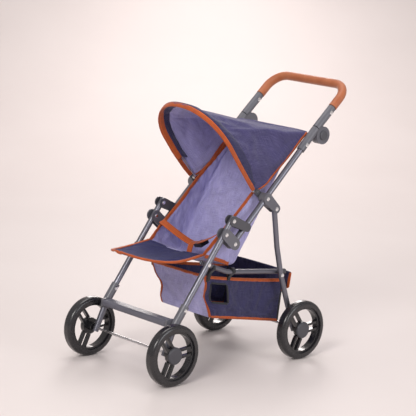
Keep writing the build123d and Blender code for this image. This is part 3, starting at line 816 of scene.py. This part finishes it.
def make_canopy():
    front, over_wire, rear = cover_lines()
    hem = np.linspace(0, 1, WIRE_ROW, endpoint=False)[:, None, None]
    roof = np.linspace(0, 1, COVER_ROWS - WIRE_ROW)[:, None, None]
    grid = np.concatenate([front * (1 - hem) + over_wire * hem,
                           over_wire * (1 - roof) + rear * roof])
    piece = sheet_mesh("canopy_cover_cloth", grid, ["denim_dark", "denim_light"], flip=True)
    held = edges_held(grid.shape)
    held[:WIRE_ROW + 1, :] = 1.0
    relax(piece, held, 0.006, spare=0.009, frames=24)
    grid = read_grid(piece, grid.shape)
    thicken(piece, lined=True)
    lines = np.swapaxes(grid, 0, 1)
    rear_lines = lines[:, ::-1][:, :14]
    hem_lines = lines[CASING_START:-CASING_START]
    trims = [
        bind("canopy_front_binding", lines[:, :14], 0.0085),
        bind("canopy_rear_binding_left", rear_lines[:TOP_START + 1], 0.0062),
        bind("canopy_rear_binding_right", rear_lines[-TOP_START - 1:], 0.0062),
        bind("canopy_top_hem", rear_lines[TOP_START:-TOP_START], 0.0100, look="denim_dark"),
        over_the_wire("canopy_wire_binding", hem_lines, WIRE_BINDING_DEPTHS, "binding"),
        over_the_wire("canopy_hem_casing", hem_lines, CASING_DEPTHS, "denim_navy"),
        # strip of darker navy outside the front hem: painted shade where the cloth curves over the
        # wire
        hem_painted_shade_band(lines),
    ]
    for part in [piece] + trims:
        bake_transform(part)
    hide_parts("canopy_cover")


WIRE_BINDING_DEPTHS = [0.0004, 0.0012, 0.0028, 0.0048, 0.0068, 0.0085]
CASING_DEPTHS = [0.0081, 0.0098, 0.0115, 0.0135, 0.0160, 0.0200, 0.0255, 0.0310]


def over_the_wire(name, lines, depths, look):
    """Strip inside the front hem that rises over the wire and comes back to the cloth."""
    place = lengths(lines, 1)[:, WIRE_ROW]
    height = np.linalg.norm((lines[:, WIRE_ROW] - in_metres((0, *WIRE_PIVOT)))[:, 1:], axis=1)
    clear = np.interp(height, [0.040, 0.075, 0.130, 0.185, 0.212],
                      [0.0078, 0.0086, 0.0086, 0.0068, 0.0056])
    lifts = []
    for depth in depths:
        lifts.append(np.array([
            np.interp(depth, [0.0004, at - 0.0026, at, at + 0.0026, 0.031],
                      [0.0018, 0.94 * full, full, 0.96 * full, 0.0012])
            for at, full in zip(place, clear)]))
    return lined_band(name, lines, [depth + 0 * place for depth in depths], lifts, 0.0009, look,
                      1.0)


def hem_painted_shade_band(lines):
    """Second layer of cloth on the outside of the front hem, in darker navy as painted shade where
    the cloth curves over the wire.
    """
    run = lines[3:-3]
    full = np.minimum(np.arange(len(run)), np.arange(len(run))[::-1]).clip(0, 12) / 12
    width = 0.022 * (0.4 + 0.6 * full)
    depths = [0.0082 + share * width for share in (0, 0.05, 0.3, 0.6, 0.95, 1)]
    lifts = [lift + 0 * full for lift in (0.0013, 0.0020, 0.0023, 0.0023, 0.0019, 0.0010)]
    return lined_band("canopy_hem_painted_shade", run, depths, lifts, 0.0006, "denim_navy", -1.0)


# ---------------------------------------------------------------- basket

def basket_point(along_side, down):
    """Side-view point of the basket's side, from its front top corner, both shares 0 to 1."""
    top = np.array([-53 + 213 * along_side, 188 - 33 * along_side + 9 * (along_side - 0.5) ** 2])
    low = np.array([-28 + 178 * along_side, 101 - 31 * along_side])
    return top * (1 - down) + low * down


def basket_half_width(along_side, down):
    """Half width: bowed in at the front edge, and tucked under below the crease."""
    pinch = 15.0 * np.exp(-((down - 0.55) / 0.22) ** 2) * np.exp(-along_side / 0.10)
    crease = 0.64 + 0.30 * along_side
    tuck = 7.0 * max(0.0, down - crease) / (1 - crease + 1e-6) * (1 - along_side) ** 0.5
    bow = 2.5 * sin(pi * along_side) * sin(pi * min(1.0, down / crease))
    return 80.5 - pinch - tuck + bow


BASKET_COLUMNS, BASKET_ROWS = 62, 30
WINDOW_COLUMNS, WINDOW_ROWS = (3, 15), (5, 18)
EAR_ROWS = 15
BASKET_TRIM_HALF = CLOTH / 2 + 0.0006


def in_window(row, column):
    return (WINDOW_ROWS[0] <= row < WINDOW_ROWS[1]
            and WINDOW_COLUMNS[0] <= column < WINDOW_COLUMNS[1])


def basket_side_grid():
    """Left side of the basket: rows from the rim down, columns from front to back."""
    return np.array([[(basket_half_width(s, d), *basket_point(s, d))
                      for s in np.linspace(0, 1, BASKET_COLUMNS)]
                     for d in np.linspace(0, 1, BASKET_ROWS)]) / 1000.0


def basket_side_held(shape):
    """Cloth weights of a side: its edges, the window's border and the crease."""
    held = edges_held(shape)
    (r0, r1), (c0, c1) = WINDOW_ROWS, WINDOW_COLUMNS
    held[r0 - 1:r1 + 2, c0 - 1:c1 + 2] = 0.9
    creases = BASKET_ROWS * (0.64 + 0.30 * np.linspace(0, 1, BASKET_COLUMNS))
    for column, row in enumerate(creases.astype(int)):
        held[min(row, BASKET_ROWS - 1), column] = 0.5
    return held


def window_bindings(side, grid):
    """Dark tape round the four sides of a window."""
    down_lines = np.swapaxes(grid, 0, 1)
    (r0, r1), (c0, c1) = WINDOW_ROWS, WINDOW_COLUMNS
    borders = {
        "top": down_lines[c0:c1 + 1, r0::-1],
        "back": grid[r0:r1 + 1, c1:c1 + 10],
        "low": down_lines[c0:c1 + 1, r1:r1 + 10][::-1],
        "front": grid[r0:r1 + 1, c0::-1][::-1],
    }
    return [bind(f"basket_window_{place}_{side}", lines, 0.0034, BASKET_TRIM_HALF, "loop_webbing")
            for place, lines in borders.items()]


def basket_side(side, sign):
    """One side with its bindings, and its area."""
    left = basket_side_grid()
    piece = sheet_mesh(f"basket_side_{side}", left if sign > 0 else left * MIRROR,
                       ["denim_navy"], in_window)
    relax(piece, basket_side_held(left.shape), 0.006, spare=0.02, frames=20)
    grid = read_grid(piece, left.shape)
    thicken(piece)
    down_lines = np.swapaxes(grid, 0, 1)
    trims = [
        bind(f"basket_rim_{side}", down_lines[:, :10], 0.0060, BASKET_TRIM_HALF),
        bind(f"basket_hem_{side}", down_lines[:, ::-1][:, :10], 0.0055, BASKET_TRIM_HALF),
        bind(f"basket_back_edge_{side}", grid[:, ::-1][:, :8], 0.0045, BASKET_TRIM_HALF,
             "loop_webbing"),
    ] + window_bindings(side, grid)
    (r0, r1), (c0, c1) = WINDOW_ROWS, WINDOW_COLUMNS
    window = left[r0:r1 + 1, c0:c1 + 1]
    return piece, trims, grid_area(left) - grid_area(window)


def basket_front():
    """Front panel with its bindings, and its area."""
    rows = []
    for down in np.linspace(0, 1, BASKET_ROWS):
        y, z = basket_point(0.0, down)
        width = basket_half_width(0.0, down)
        bulge = 5.0 * sin(pi * down)
        rows.append(smooth([(width, y, z), (width * 0.4, y - bulge, z - 1),
                            (-width * 0.4, y - bulge, z - 1), (-width, y, z)], 44))
    front = np.array(rows) / 1000.0
    piece, grid = basket_panel("basket_front", front, "denim_light", 0.018)
    trims = [bind("basket_front_rim", np.swapaxes(grid, 0, 1)[:, :10], 0.0055, BASKET_TRIM_HALF)]
    for side, sign in SIDES.items():
        columns = grid if sign > 0 else grid[:, ::-1]
        trims.append(bind(f"basket_front_side_{side}", columns[:, :8], 0.0045,
                          BASKET_TRIM_HALF + 0.0003))
    return thicken(piece), trims, grid_area(front)


def basket_back():
    """Back panel with ears that reach out round the rear legs, its bindings and its area."""
    rows = []
    for down in np.linspace(0, 1, 34):
        if down < 0.30:
            ear = 103 - 3 * down
        else:
            ear = 80.5 + (22 * (1 - min(1, (down - 0.30) / 0.12)) ** 2)
        y = 162 - 12 * down
        z = 178 - 106 * down
        sag = 3.0 * (1 - down)
        rows.append(smooth([(ear, y - 2, z - 3), (ear * 0.5, y + 3, z - sag),
                            (-ear * 0.5, y + 3, z - sag), (-ear, y - 2, z - 3)], 54))
    back = np.array(rows) / 1000.0
    piece, grid = basket_panel("basket_back", back, "denim_navy", 0.018)
    trims = [bind("basket_back_rim", np.swapaxes(grid, 0, 1)[:, :10], 0.0050, BASKET_TRIM_HALF,
                  "denim_navy")]
    for side, sign in SIDES.items():
        columns = grid if sign > 0 else grid[:, ::-1]
        trims.append(bind(f"basket_ear_binding_{side}", columns[:EAR_ROWS, :8], 0.0050,
                          BASKET_TRIM_HALF))
    return thicken(piece), trims, grid_area(back)


def basket_bottom():
    """Sagging bottom panel, and its area."""
    rows = []
    for share in np.linspace(0, 1, 46):
        y, z = basket_point(share, 1.0)
        width = basket_half_width(share, 1.0)
        sag = 5.0 * sin(pi * share)
        rows.append(smooth([(width, y, z + 1), (width * 0.5, y, z + 1 - sag),
                            (-width * 0.5, y, z + 1 - sag), (-width, y, z + 1)], 44))
    bottom = np.array(rows) / 1000.0
    piece, _ = basket_panel("basket_bottom", bottom, "denim_navy", 0.012)
    return thicken(piece), [], grid_area(bottom)


def basket_panel(name, grid, look, spare):
    """Settled panel, still one layer, and its grid."""
    piece = sheet_mesh(name, grid, [look])
    relax(piece, edges_held(grid.shape), 0.006, spare=spare, frames=18)
    return piece, read_grid(piece, grid.shape)


def make_basket():
    made = [basket_side(side, sign) for side, sign in SIDES.items()]
    made += [basket_front(), basket_back(), basket_bottom()]
    for panel, trims, area in made:
        for part in [panel] + trims:
            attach(part, "seat_bars")
    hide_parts("basket")


def make_loops():
    """Webbing loops that hang the basket from the seat bars."""
    loops = []
    for side, sign in SIDES.items():
        for number, (y, bar_z, foot_z) in enumerate(((-48, 208.5, 178), (6, 195.5, 173))):
            ring = [(81.6, foot_z), (83.2, (foot_z + bar_z) / 2), (86.3, bar_z - 3)]
            ring += [(93 + 6.1 * cos(a), bar_z + 6.1 * sin(a))
                     for a in np.linspace(radians(185), radians(-50), 12)]
            ring += [(90.0, bar_z - 9.5), (85.6, (foot_z + bar_z) / 2 - 2), (83.4, foot_z + 1)]
            path = smooth(in_metres([(sign * x, y, z) for x, z in ring]), 46, 3)
            across = np.tile([0.0, 1.0, -0.12], (len(path), 1))
            loops.append(ribbon(f"basket_loop_{side}_{number}", path, across, 0.0075, 0.0010,
                                "loop_webbing"))
    for loop in loops:
        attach(loop, "seat_bars")
    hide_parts("basket_loops")


# ---------------------------------------------------------------- harness

BELT_LOW = (-20.0, 236.5)
BELT_END = (-32.0, 268.0)


def make_harness():
    turns = np.linspace(-1, 1, 61)
    lift = np.abs(turns) ** 1.3
    path = np.stack([turns * 80.3,
                     BELT_LOW[0] + (BELT_END[0] - BELT_LOW[0]) * lift,
                     BELT_LOW[1] + (BELT_END[1] - BELT_LOW[1]) * lift], axis=1) / 1000.0
    tilt = np.tile([0.0, 0.93, 0.36], (61, 1))
    belt = ribbon("lap_belt_webbing", path, tilt, 0.015, 0.0015, "webbing", bow=0.0012)
    strap_path = smooth(in_metres([(6, -33, 214), (6, -31, 228), (6, -26, 238), (6, -19, 239.6),
                                   (6, -10, 236), (6, -9, 231)]), 30)
    strap = ribbon("crotch_strap_webbing", strap_path, np.tile([1.0, 0, 0], (30, 1)), 0.014,
                   0.0015, "webbing", bow=0.0008)
    for part, node in ((belt, "lap_belt"), (strap, "crotch_strap")):
        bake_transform(part)
        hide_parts(node)


# ---------------------------------------------------------------- floor

def make_stage():
    """Pale floor that sweeps up into a backdrop behind the stroller."""
    profile = smooth([(0, -2.6, 0), (0, 1.0, 0), (0, 2.6, 0), (0, 3.4, 0.8), (0, 3.6, 3.4)], 40)
    ahead = np.array([-sin(CAMERA_AZIMUTH), cos(CAMERA_AZIMUTH), 0.0])
    across = np.array([cos(CAMERA_AZIMUTH), sin(CAMERA_AZIMUTH), 0.0])
    grid = np.array([[ahead * p[1] + across * x + [0, 0, p[2]] for x in (-5, 0, 5)]
                     for p in profile])
    floor = sheet_mesh("floor", grid, ["floor"], flip=True)


# ---------------------------------------------------------------- build

make_camera()
make_lights()
make_stage()
paint_frame()
make_seat()
make_flap()
make_canopy()
make_basket()
make_loops()
make_harness()
